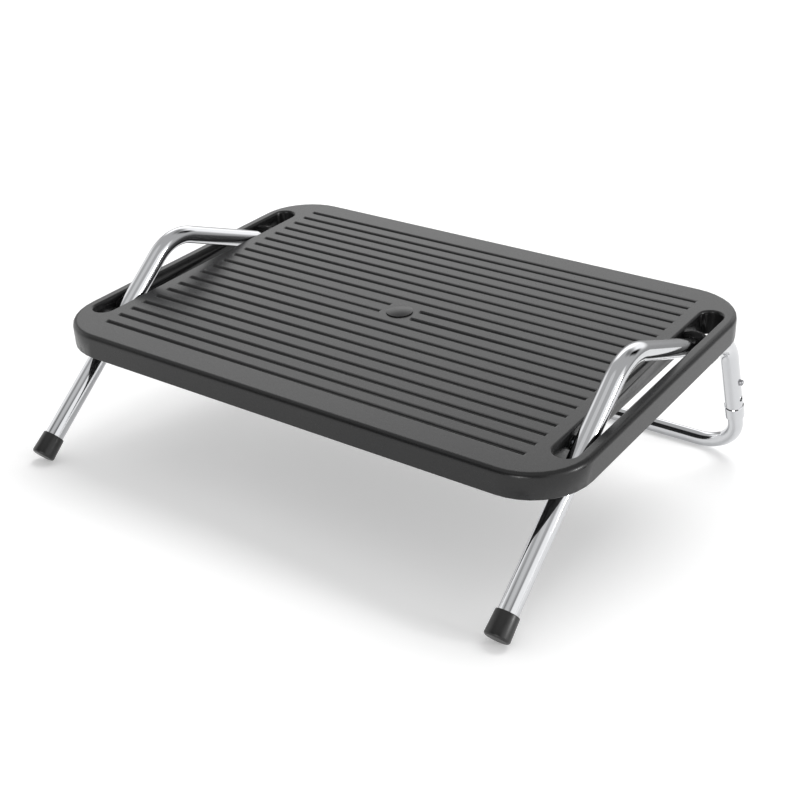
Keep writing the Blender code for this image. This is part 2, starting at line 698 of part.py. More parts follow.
def ribbon(points, thickness):
    """The outline of a thin strip that follows a row of (x, z) points."""
    spots = [Vector(point) for point in points]
    headings = [(b - a).normalized() for a, b in zip(spots, spots[1:])]
    sides = []
    for i, spot in enumerate(spots):
        before = headings[max(i - 1, 0)]
        after = headings[min(i, len(headings) - 1)]
        mean = (before + after).normalized()
        normal = Vector((-mean.y, mean.x))
        step = normal * thickness / 2 / mean.dot(after)
        sides.append((spot + step, spot - step))
    return [left for left, right in sides] + [right for left, right in reversed(sides)]


def make_snap_button(word, side, slide):
    """A nub on a folded leaf spring; its parent empty lies on the line that it is pressed along."""
    axis = link(f"button_axis_{word}", None, slide, Matrix.Translation((side * SIDE_X, 0, NUB_FROM_CORNER)))
    flat_bore = BAR_BORE * math.cos(math.pi / TUBE_SIDES) - LEAF_GAP
    arm = math.sqrt(flat_bore ** 2 - (LEAF_WIDTH / 2) ** 2) - LEAF_THICKNESS / 2
    fold = -LEAF_LENGTH + LEAF_FOLD_RADIUS
    line = [(arm, LEAF_TOP), (arm, -LEAF_TOP)]
    add_arc(line, (0, fold), LEAF_FOLD_RADIUS, 0, -math.pi, EDGE_STEPS)
    line += [(-arm, -LEAF_TOP), (-arm, LEAF_TOP)]
    outline = ribbon(line, LEAF_THICKNESS)
    half = LEAF_WIDTH / 2
    rings = [[Vector((side * p.x, y, p.y)) for p in outline] for y in (-half, half)]
    button = piece(f"snap_button_{word}", loft(rings), SPRING_STEEL, axis, smooth=False)
    tip = TUBE_RADIUS + NUB_PROUD
    profile = [(NUB_RADIUS, arm)]
    for i in range(DOME_STEPS):
        turn = math.pi / 2 * i / DOME_STEPS
        profile.append((NUB_RADIUS * math.cos(turn), tip - NUB_DOME * (1 - math.sin(turn))))
    turn = Matrix.Rotation(side * math.pi / 2, 4, "Y")
    nub = cutter(f"nub_{word}", turned(profile, SCREW_SIDES), axis, turn)
    boolean(button, nub, "UNION")


def make_foot_cap(word, side):
    """A rubber cap over the end of a front leg."""
    profile = []
    for i in range(EDGE_STEPS + 1):
        turn = math.pi / 2 * i / EDGE_STEPS
        radius = CAP_BOTTOM_RADIUS - CAP_EDGE_RADIUS * (1 - math.sin(turn))
        profile.append((radius, CAP_EDGE_RADIUS * (1 - math.cos(turn))))
    profile.append((CAP_TOP_RADIUS, CAP_LENGTH - CAP_RIM_RADIUS))
    profile.append((CAP_TOP_RADIUS - CAP_RIM_RADIUS, CAP_LENGTH))
    profile.append((CAP_BORE, CAP_LENGTH))
    profile.append((CAP_BORE, CAP_FLOOR))
    bm = turned(profile, TUBE_SIDES)
    piece(f"foot_cap_{word}", bm, RUBBER, matrix=along_leg_matrix(side * SIDE_X, 0))


def clear_scene():
    for old in list(bpy.data.objects):
        bpy.data.objects.remove(old, do_unlink=True)


def main():
    clear_scene()
    platform_axes = link("platform_axes", None, matrix=platform_matrix())
    rear_legs = link("rear_leg_axes", None, matrix=rear_leg_matrix())
    slide = link("rear_bar_slide", None, matrix=rear_leg_matrix())
    make_platform(platform_axes)
    make_plug(platform_axes)
    make_strap_screws(platform_axes)
    make_rear_bar(slide)
    for word, side in SIDES.items():
        make_side_tube(word, side, rear_legs)
        make_ferrule(word, side, rear_legs)
        make_foot_cap(word, side)
        make_strap(word, side, platform_axes)
        make_front_fixings(word, side, platform_axes)
        make_snap_button(word, side, slide)


main()
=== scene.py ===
"""Dresses the footrest: moulded platform, chromed tubes, rubber caps and small fixings.

The file is laid out as a Blender add-on and is run as a script. Sizes are in metres.
X runs across the footrest, Y from front to rear and Z up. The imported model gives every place.
"""

import math
from contextlib import contextmanager

import bmesh
import bpy
from mathutils import Matrix, Vector
from mathutils.geometry import intersect_line_line


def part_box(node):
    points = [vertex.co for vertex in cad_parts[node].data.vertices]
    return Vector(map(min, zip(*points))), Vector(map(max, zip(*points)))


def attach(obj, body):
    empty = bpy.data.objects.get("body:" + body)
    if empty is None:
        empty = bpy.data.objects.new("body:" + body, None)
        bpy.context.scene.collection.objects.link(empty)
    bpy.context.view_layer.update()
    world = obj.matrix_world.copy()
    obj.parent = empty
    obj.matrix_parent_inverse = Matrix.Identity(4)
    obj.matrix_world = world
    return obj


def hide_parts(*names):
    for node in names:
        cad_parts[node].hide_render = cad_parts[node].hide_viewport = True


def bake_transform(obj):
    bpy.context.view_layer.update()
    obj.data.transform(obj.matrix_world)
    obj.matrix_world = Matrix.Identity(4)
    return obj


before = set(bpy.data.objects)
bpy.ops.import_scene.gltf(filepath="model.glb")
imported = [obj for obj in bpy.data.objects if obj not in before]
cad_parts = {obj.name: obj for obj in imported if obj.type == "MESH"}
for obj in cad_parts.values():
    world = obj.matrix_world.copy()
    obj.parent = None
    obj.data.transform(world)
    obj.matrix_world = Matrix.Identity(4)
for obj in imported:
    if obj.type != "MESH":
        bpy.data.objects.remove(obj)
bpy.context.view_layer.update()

bl_info = {
    "name": "Footrest",
    "version": (1, 0, 0),
    "blender": (4, 5, 0),
    "location": "3D View > Sidebar > Footrest",
    "description": "Builds the visible pieces of a footrest with a tubular frame",
    "category": "Object",
}

MM = 0.001
SIDES = {"left": -1, "right": 1}
ACROSS = Vector((1, 0, 0))
MERGE_DISTANCE = 0.002 * MM

# How far cutters reach past a surface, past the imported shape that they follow, and above the tread at a lip
OVERRUN = 5 * MM
HAIR = 0.03 * MM
LIP_LIFT = 0.005 * MM
SLOT_CLEARANCE = 0.3 * MM

# The sharpest edge that is smoothed, and how near a normal is to a flat's own and to one that it may take
SMOOTH_ANGLE = math.radians(32)
FLAT_COSINE = math.cos(math.radians(0.2))
NEAR_COSINE = math.cos(math.radians(30))

# How finely round shapes are stepped
TUBE_SIDES = 64
BEND_STEPS = 40
TURNED_SIDES = 72
HOLE_SIDES = 40
LIP_STEPS = 8
EDGE_STEPS = 12
SLOT_END_STEPS = 12
ROUND_STEPS = 8
FERRULE_EDGE_STEPS = 5
RIM_STEPS = 4
FLOOR_SIDES = 96

# A bevel over the whole half width would leave an end without a middle
NEARLY_ALL = 0.9999


# Properties a user would change

def length(name, description, value):
    return bpy.props.FloatProperty(
        name=name, description=description, default=value, unit="LENGTH", subtype="DISTANCE"
    )


def angle(name, description, degrees):
    return bpy.props.FloatProperty(
        name=name, description=description, default=math.radians(degrees), subtype="ANGLE"
    )


def linear(code):
    """The linear colour of an sRGB hex code."""
    channels = [int(code[i:i + 2], 16) / 255 for i in (1, 3, 5)]
    return [c / 12.92 if c <= 0.04045 else ((c + 0.055) / 1.055) ** 2.4 for c in channels]


def colour(name, description, code):
    return bpy.props.FloatVectorProperty(
        name=name, description=description, default=linear(code), subtype="COLOR", size=3, min=0, max=1
    )


def box_size(node):
    low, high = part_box(node)
    return high - low


def box_centre(node):
    low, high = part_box(node)
    return (low + high) / 2


class FootrestSizes(bpy.types.PropertyGroup):
    """Sizes of the pieces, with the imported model's own sizes as defaults where it has them."""

    tube_radius: length("Tube radius", "Outside radius of the side tubes", box_size("side_tube_right").x / 2)
    tube_wall: length("Tube wall", "Wall of every tube", 0.8 * MM)
    leg_angle: angle("Leg angle", "Slope of the front legs above the floor", 47.4)
    run_fall: angle("Run fall", "How the upper run falls towards the rear", 12.4)
    sleeve_angle: angle("Rear leg angle", "Slope of the rear legs above the floor", 59.2)
    front_bend: length("Front bend", "Centre-line radius of the bend at each loop's front", 42 * MM)
    rear_bend: length("Rear bend", "Centre-line radius of the bend above each rear leg", 35 * MM)
    bar_radius: length("Rear bar radius", "Outside radius of the sliding rear bar", 6.5 * MM)
    bar_bend: length("Rear bar bend", "Centre-line radius of the rear bar's corners", 38 * MM)
    ferrule_length: length("Ferrule length", "Length of the ring round each sleeve's mouth", 13 * MM)
    ferrule_wall: length("Ferrule wall", "Wall of the ring round each sleeve's mouth", 0.5 * MM)
    ferrule_lip: length("Ferrule lip", "Thickness of each ring's lip over its sleeve's end", 0.8 * MM)
    ferrule_edge: length("Ferrule edge", "Radius of each ring's lower edge", 0.5 * MM)
    tube_fit: length("Fit on the tube", "Gap between a side tube and what is pushed over it", 0.2 * MM)
    bar_fit: length("Fit round the bar", "Gap between a ring's lip and the rear bar", 0.15 * MM)
    cap_height: length("Foot cap height", "Height of each foot cap along its leg", 18.5 * MM)
    cap_floor: length("Foot cap floor", "Rubber between a leg's end and the floor", 4 * MM)
    cap_seat: length("Foot cap seat", "Gap between a leg's end and its cap's floor", 0.3 * MM)
    cap_bottom: length("Foot cap bottom", "Radius of each foot cap at its bottom", 9.3 * MM)
    cap_top: length("Foot cap top", "Radius of each foot cap at its top", 8.7 * MM)
    cap_edge: length("Foot cap edge", "Rounding of each foot cap's lower edge", 2 * MM)
    cap_rim: length("Foot cap rim", "Rounding of each foot cap's upper rim", 0.6 * MM)
    nub_radius: length("Nub radius", "Radius of each snap button's nub", 2.5 * MM)
    nub_below_end: length("Nub below end", "From the rear bar's upper end down to its nub", 12 * MM)
    leaf_reach: length("Leaf reach", "From a rear leg's axis to where its leaf stops bending", 3.7 * MM)
    height_step: length("Height step", "Between the two holes for each nub", 20 * MM)
    nub_clearance: length("Nub clearance", "Gap round each nub in its hole", 0.25 * MM)
    platform_tilt: angle("Platform tilt", "Slope of the tread", 10)
    screw_place: length("Front screw place", "From the platform's front face to the cross screws", 69.1 * MM)
    screw_depth: length("Front screw depth", "From the tread down to the cross screws", 10 * MM)
    platform_depth: length("Platform depth", "Depth of the platform, along the tread", 318 * MM)
    groove_front: length("First groove", "From the platform's front face to the first groove", 26.9 * MM)
    groove_rear: length("Rear margin", "Least distance from the last groove to the rear face", 20 * MM)
    groove_pitch: length("Groove pitch", "Between two grooves", 13.97 * MM)
    groove_floor: length("Groove floor", "Width of a groove's floor", 1.8 * MM)
    groove_width: length("Groove width", "Width of a groove, without its rounded lips", 3.8 * MM)
    groove_depth: length("Groove depth", "Depth of a groove", 1.5 * MM)
    groove_end: length("Groove end", "From the middle to a groove's end", 191.5 * MM)
    bare_ring: length("Bare ring", "Radius round the plug that no groove enters", 16 * MM)
    slot_front: length("Slot front", "From the platform's front face to each slot", 35 * MM)
    slot_rear: length("Slot rear", "From the platform's front face to each slot's rear end", 284 * MM)
    slot_inner: length("Slot's inner edge", "From the middle to each slot's inner edge", 203 * MM)
    slot_outer: length("Slot's outer edge", "From the middle to each slot's outer edge", 221.4 * MM)
    slot_rounding: length("Slot rounding", "Radius of each slot's top edge", 3.8 * MM)
    lip_rounding: length("Lip rounding", "How far a groove's rounded lip reaches onto the tread", 1.3 * MM)


class FootrestColours(bpy.types.PropertyGroup):
    """Colours of the finishes, as they are under even light."""

    plastic: colour("Plastic", "Black moulded polypropylene", "#171718")
    plastic_pale: colour("Pale plastic", "Where the moulding is a little paler", "#1B1B1B")
    chrome: colour("Chrome", "Bright chrome plate", "#CACBCD")
    rubber: colour("Rubber", "Black moulded rubber", "#131313")
    steel: colour("Spring steel", "Tempered spring steel", "#A2A2A5")
    zinc: colour("Zinc", "Bright zinc plate", "#BFC3C8")
    floor: colour("Floor", "Pale studio floor", "#ECECEC")


# Places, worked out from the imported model

def sizes():
    return bpy.context.scene.footrest_sizes


def colours():
    return bpy.context.scene.footrest_colours


def slope(angle_up):
    """A heading in the plane of a side tube."""
    return Vector((0, math.cos(angle_up), math.sin(angle_up)))


def meet(start, heading, other, other_heading):
    """Where two lines in one plane cross."""
    return intersect_line_line(start, start + heading, other, other + other_heading)[0]


def side_tube_corners(word):
    """A side tube's foot end, its two corners and its mouth, on the centre line."""
    s = sizes()
    leg = slope(s.leg_angle)
    run = slope(-s.run_fall)
    sleeve = slope(-s.sleeve_angle)
    low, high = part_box(f"side_tube_{word}")
    x = (low.x + high.x) / 2
    foot = Vector((x, low.y + s.tube_radius * leg.z, low.z + s.tube_radius * leg.y))
    rise = high.z - s.tube_radius - s.front_bend * (1 - leg.y) - foot.z
    corner = foot + leg * (rise / leg.z + s.front_bend * math.tan((s.leg_angle + s.run_fall) / 2))
    mouth = box_centre(f"sleeve_ferrule_{word}") + sleeve * s.ferrule_length / 2
    return [foot, corner, meet(corner, run, mouth, sleeve), mouth]


def rear_bar_corners():
    """The rear bar's ends and corners, on the centre line, from left to right."""
    s = sizes()
    sleeve = slope(-s.sleeve_angle)
    low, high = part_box("rear_u_bar")
    corner = Vector((high.x - s.bar_radius, high.y - s.bar_radius, low.z + s.bar_radius))
    end = corner + sleeve * ((high.z - s.bar_radius * sleeve.y - corner.z) / sleeve.z)
    mirror = Vector((-1, 1, 1))
    return [end * mirror, corner * mirror, corner, end]


def nub_centre(side):
    """Where a nub's axis crosses the rear bar's centre line."""
    s = sizes()
    ends = rear_bar_corners()
    return ends[-1 if side > 0 else 0] + slope(-s.sleeve_angle) * s.nub_below_end


def axes_at(place, heading):
    """A matrix at a place, with Z along a heading."""
    return Matrix.Translation(place) @ heading.to_track_quat("Z", "Y").to_matrix().to_4x4()


def platform_axes():
    """The platform's own axes: X across, Y along the tread from its front face, Z out of the tread."""
    s = sizes()
    turn = Matrix.Rotation(s.platform_tilt, 4, "X")
    held = turn @ Vector((0, s.screw_place, -s.screw_depth))
    screw = box_centre("front_spacer_right")
    return Matrix.Translation(Vector((0, screw.y, screw.z)) - held) @ turn


# Modelling steps

def deselect():
    bpy.ops.object.select_all(action="DESELECT")


def name_new(name):
    made = bpy.context.active_object
    made.name = name
    made.data.name = name
    return made


def activate(piece):
    deselect()
    piece.select_set(True)
    bpy.context.view_layer.objects.active = piece


@contextmanager
def editing(piece, select=True):
    """Edit mode on one piece, with all of it selected or none."""
    activate(piece)
    bpy.ops.object.mode_set(mode="EDIT")
    bpy.ops.mesh.select_all(action="SELECT" if select else "DESELECT")
    yield
    bpy.ops.object.mode_set(mode="OBJECT")


def select_where(kind, test):
    """Selects the edit mesh's edges or faces that pass a test."""
    mesh = bpy.context.edit_object.data
    bm = bmesh.from_edit_mesh(mesh)
    bpy.ops.mesh.select_all(action="DESELECT")
    bpy.ops.mesh.select_mode(type={"edges": "EDGE", "faces": "FACE"}[kind])
    for part in getattr(bm, kind):
        if test(part):
            part.select_set(True)
    bmesh.update_edit_mesh(mesh)


def extrude(step):
    bpy.ops.mesh.extrude_region_move(TRANSFORM_OT_translate={"value": step})


def apply_place(piece):
    activate(piece)
    bpy.ops.object.transform_apply(location=True, rotation=True, scale=True)


def put(piece, axes):
    """Moves a piece modelled about the origin to its axes, and leaves the place in its mesh."""
    piece.data.transform(axes)
    piece.data.update()


def add_modifier(piece, kind, **settings):
    """Adds a modifier and applies it."""
    step = piece.modifiers.new(kind.title(), kind)
    for name, value in settings.items():
        setattr(step, name, value)
    activate(piece)
    bpy.ops.object.modifier_apply(modifier=step.name)


def smooth(piece):
    activate(piece)
    bpy.ops.object.shade_smooth_by_angle(angle=SMOOTH_ANGLE)


def settle_flats(piece, headings):
    """Gives every point of a flat face that face's normal, so that flats beside round edges shade as flats."""
    mesh = piece.data
    normals = [corner.vector.copy() for corner in mesh.corner_normals]
    flat_points = {}
    for face in mesh.polygons:
        for heading in headings:
            if face.normal.dot(heading) > FLAT_COSINE:
                flat_points.update({point: heading for point in face.vertices})
    for i, corner in enumerate(mesh.loops):
        heading = flat_points.get(corner.vertex_index)
        if heading is not None and normals[i].dot(heading) > NEAR_COSINE:
            normals[i] = heading
    mesh.normals_split_custom_set(normals)


def cut(piece, cutter):
    """Cuts one piece with another, which is then removed."""
    add_modifier(piece, "BOOLEAN", object=cutter, operation="DIFFERENCE", solver="EXACT")
    bpy.data.objects.remove(cutter)


def drill(piece, start, end, radius):
    """A round hole between two points."""
    way = end - start
    deselect()
    bpy.ops.mesh.primitive_cylinder_add(
        vertices=HOLE_SIDES,
        radius=radius,
        depth=way.length,
        location=(start + end) / 2,
        rotation=way.to_track_quat("Z", "Y").to_euler(),
    )
    drill_bit = name_new("drill")
    apply_place(drill_bit)
    cut(piece, drill_bit)


def bend_tube(name, corners, bends, radius, wall):
    """Bends a tube as a bender does: a ring is extruded along each run and spun round each bend."""
    heading = (corners[1] - corners[0]).normalized()
    deselect()
    bpy.ops.mesh.primitive_circle_add(
        vertices=TUBE_SIDES,
        radius=radius,
        location=corners[0],
        rotation=heading.to_track_quat("Z", "X").to_euler(),
    )
    tube = name_new(name)
    apply_place(tube)
    with editing(tube):
        bpy.ops.mesh.select_mode(type="EDGE")
        place = corners[0]
        for corner, after, bend in zip(corners[1:], corners[2:], bends):
            leave = (after - corner).normalized()
            turn = heading.angle(leave)
            axis = heading.cross(leave).normalized()
            start = corner - heading * bend * math.tan(turn / 2)
            extrude(start - place)
            centre = start + axis.cross(heading) * bend
            bpy.ops.mesh.spin(steps=BEND_STEPS, angle=-turn, center=centre, axis=axis)
            place = corner + leave * bend * math.tan(turn / 2)
            heading = leave
        extrude(corners[-1] - place)
        bpy.ops.mesh.select_all(action="SELECT")
        bpy.ops.mesh.remove_doubles(threshold=MERGE_DISTANCE)
        bpy.ops.mesh.normals_make_consistent(inside=False)
    add_modifier(tube, "SOLIDIFY", thickness=wall, offset=-1, use_even_offset=True)
    return tube


def raise_disc(name, profile):
    """A turned piece: a disc is extruded and resized through a row of (radius, height) steps."""
    radius, height = profile[0]
    deselect()
    place = (0, 0, height)
    bpy.ops.mesh.primitive_circle_add(vertices=TURNED_SIDES, radius=radius, fill_type="NGON", location=place)
    made = name_new(name)
    apply_place(made)
    with editing(made):
        bpy.ops.mesh.select_mode(type="FACE")
        for next_radius, next_height in profile[1:]:
            extrude((0, 0, next_height - height))
            scale = next_radius / radius
            bpy.ops.transform.resize(value=(scale, scale, 1), center_override=(0, 0, next_height))
            radius, height = next_radius, next_height
        bpy.ops.mesh.select_all(action="SELECT")
        bpy.ops.mesh.normals_make_consistent(inside=False)
    return made


def raise_rectangle(name, half, profile, middle):
    """A rectangle that is extruded and resized through a row of (outward step, height) pairs."""
    step, height = profile[0]
    deselect()
    bpy.ops.mesh.primitive_plane_add(size=2, location=middle + Vector((0, 0, height)))
    made = name_new(name)
    made.scale = (half.x + step, half.y + step, 1)
    apply_place(made)
    with editing(made):
        bpy.ops.mesh.select_mode(type="FACE")
        for next_step, next_height in profile[1:]:
            extrude((0, 0, next_height - height))
            scale = ((half.x + next_step) / (half.x + step), (half.y + next_step) / (half.y + step), 1)
            bpy.ops.transform.resize(value=scale, center_override=middle + Vector((0, 0, next_height)))
            step, height = next_step, next_height
        bpy.ops.mesh.select_all(action="SELECT")
        bpy.ops.mesh.normals_make_consistent(inside=False)
    return made


def join(pieces):
    """Joins pieces into the first of them."""
    deselect()
    for piece in pieces:
        piece.select_set(True)
    bpy.context.view_layer.objects.active = pieces[0]
    bpy.ops.object.join()
    return pieces[0]


def quarter(centre_radius, centre_height, radius, start, end, steps=ROUND_STEPS):
    """Steps of a round edge in a turned profile, between two angles in degrees."""
    turns = [math.radians(start + (end - start) * i / steps) for i in range(steps + 1)]
    return [(centre_radius + radius * math.cos(t), centre_height + radius * math.sin(t)) for t in turns]


def merged_copy(node):
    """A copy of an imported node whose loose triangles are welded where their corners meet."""
    copy = bpy.data.objects.new(f"{node}_skin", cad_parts[node].data.copy())
    copy.data.name = copy.name
    bpy.context.scene.collection.objects.link(copy)
    with editing(copy):
        bpy.ops.mesh.remove_doubles(threshold=MERGE_DISTANCE)
    return copy


def finish_piece(piece, node, body, material):
    """Gives a finished piece its material, hides the imported node that it stands for and, unless it bends
    between two, attaches it to its body.
    """
    piece.data.materials.clear()
    piece.data.materials.append(material)
    if body is not None:
        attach(piece, body)
    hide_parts(node)


# Materials

def add_node(material, kind, inputs=None, output=None, **settings):
    """Adds a node, whose inputs take values or other nodes' outputs, and returns it or one of its outputs."""
    node = material.node_tree.nodes.new(kind)
    for name, value in settings.items():
        setattr(node, name, value)
    for name, value in (inputs or {}).items():
        if isinstance(value, bpy.types.NodeSocket):
            material.node_tree.links.new(value, node.inputs[name])
        else:
            node.inputs[name].default_value = value
    return node if output is None else node.outputs[output]


def new_material(name):
    """An empty material, and the object's own coordinates in it."""
    made = bpy.data.materials.new(name)
    made.use_nodes = True
    made.node_tree.nodes.clear()
    return made, add_node(made, "ShaderNodeTexCoord", output="Object")


def show_surface(material, inputs):
    """Gives a material its shader, with the inputs that differ from the shader's own."""
    shader = add_node(material, "ShaderNodeBsdfPrincipled", inputs, output="BSDF")
    add_node(material, "ShaderNodeOutputMaterial", {"Surface": shader})
    return material


# The middle of a noise's values, which a pattern is stretched over, and a colour mix's sockets
MIDDLE = {"From Min": 0.3, "From Max": 0.7}
FACTOR, FIRST, SECOND, MIXED = 0, 6, 7, 2


def moulded_polypropylene():
    """Black polypropylene from a spark-eroded mould: a fine matt grain with a soft broad sheen."""
    made, places = new_material("moulded_polypropylene")
    c = colours()
    # The real grain is about 0.3 mm and is drawn at 1.1 mm, so that it shows
    size = {"Vector": places, "Scale": 1 / (1.1 * MM), "Detail": 3.0, "Roughness": 0.6}
    grain = add_node(made, "ShaderNodeTexNoise", size, output="Fac")
    size = {"Vector": places, "Scale": 1 / (60 * MM), "Detail": 2.0}
    flow = add_node(made, "ShaderNodeTexNoise", size, output="Fac")
    share = add_node(made, "ShaderNodeMapRange", {"Value": flow, **MIDDLE}, output="Result")
    tones = {FACTOR: share, FIRST: (*c.plastic, 1), SECOND: (*c.plastic_pale, 1)}
    gloss = {"Value": grain, **MIDDLE, "To Min": 0.26, "To Max": 0.36}
    relief = {"Height": grain, "Strength": 0.35, "Distance": 0.05 * MM}
    return show_surface(made, {
        "Base Color": add_node(made, "ShaderNodeMix", tones, output=MIXED, data_type="RGBA"),
        "IOR": 1.42,
        "Roughness": add_node(made, "ShaderNodeMapRange", gloss, output="Result"),
        "Normal": add_node(made, "ShaderNodeBump", relief, output="Normal"),
    })


def chrome_plate():
    """Bright chrome on polished steel tube: mirror-like, with faint polishing waves and smudges."""
    made, places = new_material("chrome_plate")
    size = {"Vector": places, "Scale": 1 / (9 * MM), "Detail": 1.0}
    waves = add_node(made, "ShaderNodeTexNoise", size, output="Fac")
    size = {"Vector": places, "Scale": 1 / (24 * MM), "Detail": 4.0, "Roughness": 0.65}
    smudge = add_node(made, "ShaderNodeTexNoise", size, output="Fac")
    gloss = {"Value": smudge, **MIDDLE, "To Min": 0.05, "To Max": 0.11}
    relief = {"Height": waves, "Strength": 0.12, "Distance": 0.03 * MM}
    return show_surface(made, {
        "Metallic": 1.0,
        "Base Color": (*colours().chrome, 1),
        "Roughness": add_node(made, "ShaderNodeMapRange", gloss, output="Result"),
        "Normal": add_node(made, "ShaderNodeBump", relief, output="Normal"),
    })


def moulded_rubber():
    """Black rubber from a smooth mould: deep black with a soft sheen and a greyish bloom."""
    made, places = new_material("moulded_rubber")
    rubber = colours().rubber
    size = {"Vector": places, "Scale": 1 / (0.7 * MM), "Detail": 3.0}
    pores = add_node(made, "ShaderNodeTexNoise", size, output="Fac")
    size = {"Vector": places, "Scale": 1 / (7 * MM), "Detail": 4.0, "Roughness": 0.6}
    bloom = add_node(made, "ShaderNodeTexNoise", size, output="Fac")
    share = add_node(made, "ShaderNodeMapRange", {"Value": bloom, **MIDDLE}, output="Result")
    tones = {FACTOR: share, FIRST: (*rubber, 1), SECOND: (*(1.7 * x for x in rubber), 1)}
    gloss = {"Value": bloom, **MIDDLE, "To Min": 0.3, "To Max": 0.44}
    relief = {"Height": pores, "Strength": 0.3, "Distance": 0.04 * MM}
    return show_surface(made, {
        "Base Color": add_node(made, "ShaderNodeMix", tones, output=MIXED, data_type="RGBA"),
        "Roughness": add_node(made, "ShaderNodeMapRange", gloss, output="Result"),
        "Normal": add_node(made, "ShaderNodeBump", relief, output="Normal"),
    })


def frosted_metal(name, pale, dark_share, mark_size, detail, gloss_from, gloss_to):
    """A bare metal whose colour and gloss both change over one fine pattern."""
    made, places = new_material(name)
    size = {"Vector": places, "Scale": 1 / mark_size, "Detail": detail, "Roughness": 0.7}
    marks = add_node(made, "ShaderNodeTexNoise", size, output="Fac")
    share = add_node(made, "ShaderNodeMapRange", {"Value": marks, **MIDDLE}, output="Result")
    tones = {FACTOR: share, FIRST: (*pale, 1), SECOND: (*(dark_share * x for x in pale), 1)}
    gloss = {"Value": marks, **MIDDLE, "To Min": gloss_from, "To Max": gloss_to}
    return show_surface(made, {
        "Metallic": 1.0,
        "Base Color": add_node(made, "ShaderNodeMix", tones, output=MIXED, data_type="RGBA"),
        "Roughness": add_node(made, "ShaderNodeMapRange", gloss, output="Result"),
    })


def spring_steel():
    """Hardened and tempered spring steel: grey and satin, with faint tumbling marks."""
    marks = {"mark_size": 0.9 * MM, "detail": 4.0, "gloss_from": 0.3, "gloss_to": 0.45}
    return frosted_metal("spring_steel", colours().steel, dark_share=0.7, **marks)


def zinc_plate():
    """Bright zinc plate on screws: pale, bluish and lightly frosted."""
    frost = {"mark_size": 1.2 * MM, "detail": 3.0, "gloss_from": 0.24, "gloss_to": 0.4}
    return frosted_metal("zinc_plate", colours().zinc, dark_share=0.8, **frost)


MAKERS = {
    "black_plastic": moulded_polypropylene,
    "chrome": chrome_plate,
    "rubber": moulded_rubber,
    "spring_steel": spring_steel,
    "zinc": zinc_plate,
}
made_materials = {}


def finish_for(slot):
    """The material for a slot of the record, made when it is first needed."""
    if slot not in made_materials:
        made_materials[slot] = MAKERS[slot]()
    return made_materials[slot]


def dress(piece, node, body, slot):
    smooth(piece)
    finish_piece(piece, node, body, finish_for(slot))


# Operators, one for each group of like pieces

def groove_profile():
    """A groove's section from its floor up to its rounded lips, as (outward step, height) pairs."""
    s = sizes()
    flank = math.atan2(s.groove_depth, (s.groove_width - s.groove_floor) / 2)
    reach = s.lip_rounding
    radius = reach / math.tan(flank / 2)
    edge = (s.groove_width - s.groove_floor) / 2
    profile = [(0, -s.groove_depth - HAIR)]
    for i in range(LIP_STEPS + 1):
        turn = flank * (1 - i / LIP_STEPS)
        profile.append((edge + reach - radius * math.sin(turn), LIP_LIFT - radius * (1 - math.cos(turn))))
    profile.append((edge + reach, OVERRUN))
    return profile


def groove_spans(y):
    """The stretches of a groove: all across the tread, or on both sides of the bare ring."""
    s = sizes()
    off = abs(y - s.platform_depth / 2)
    if off >= s.bare_ring:
        return [(-s.groove_end, s.groove_end)]
    gap = math.sqrt(s.bare_ring ** 2 - off ** 2)
    return [(-s.groove_end, -gap), (gap, s.groove_end)]


def groove_tools():
    """Every groove's cutter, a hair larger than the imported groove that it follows."""
    s = sizes()
    profile = groove_profile()
    count = 1 + int((s.platform_depth - s.groove_front - s.groove_rear) / s.groove_pitch)
    tools = []
    for i in range(count):
        y = s.groove_front + s.groove_pitch * i
        for start, end in groove_spans(y):
            inset = (s.groove_width - s.groove_floor) / 2
            half = Vector(((end - start) / 2 - inset + HAIR, s.groove_floor / 2 + HAIR, 0))
            middle = Vector(((start + end) / 2, y, 0))
            tools.append(raise_rectangle("groove_tool", half, profile, middle))
    return join(tools)


def slot_block(name, side, grow, top, bottom):
    """A block with a slot's outline, round at both ends and widened by a distance."""
    s = sizes()
    half_width = (s.slot_outer - s.slot_inner) / 2 + grow
    half_length = (s.slot_rear - s.slot_front) / 2 + grow
    deselect()
    middle = Vector((side * (s.slot_inner + s.slot_outer) / 2, (s.slot_front + s.slot_rear) / 2, top))
    bpy.ops.mesh.primitive_plane_add(size=2, location=middle)
    made = name_new(name)
    made.scale = (half_width, half_length, 1)
    apply_place(made)
    with editing(made):
        bpy.ops.mesh.bevel(offset=half_width * NEARLY_ALL, segments=SLOT_END_STEPS, affect="VERTICES")
        bpy.ops.mesh.remove_doubles(threshold=MERGE_DISTANCE)
        bpy.ops.mesh.select_mode(type="FACE")
        bpy.ops.mesh.select_all(action="SELECT")
        extrude((0, 0, bottom - top))
    return made


def slot_rounding_tool(side):
    """A ring that leaves a round edge all round a slot and clears the arch over the tube."""
    s = sizes()
    radius = s.slot_rounding
    ring = slot_block("slot_rounding_tool", side, radius, OVERRUN, LIP_LIFT)
    with editing(ring, select=False):
        select_where("faces", lambda face: max(point.co.z for point in face.verts) < OVERRUN / 2)
        for i in range(EDGE_STEPS):
            turn, after = (math.pi / 2 * k / EDGE_STEPS for k in (i, i + 1))
            bpy.ops.mesh.inset(thickness=radius * (math.sin(after) - math.sin(turn)), depth=0)
            bpy.ops.transform.translate(value=(0, 0, radius * (math.cos(after) - math.cos(turn))))
        bpy.ops.mesh.inset(thickness=HAIR, depth=0)
        extrude((0, 0, -HAIR))
        bpy.ops.mesh.select_all(action="SELECT")
        bpy.ops.mesh.normals_make_consistent(inside=False)
    core = slot_block("slot_core", side, -SLOT_CLEARANCE, 2 * OVERRUN, -2 * OVERRUN)
    with editing(core):
        bpy.ops.mesh.normals_make_consistent(inside=False)
    cut(ring, core)
    return ring


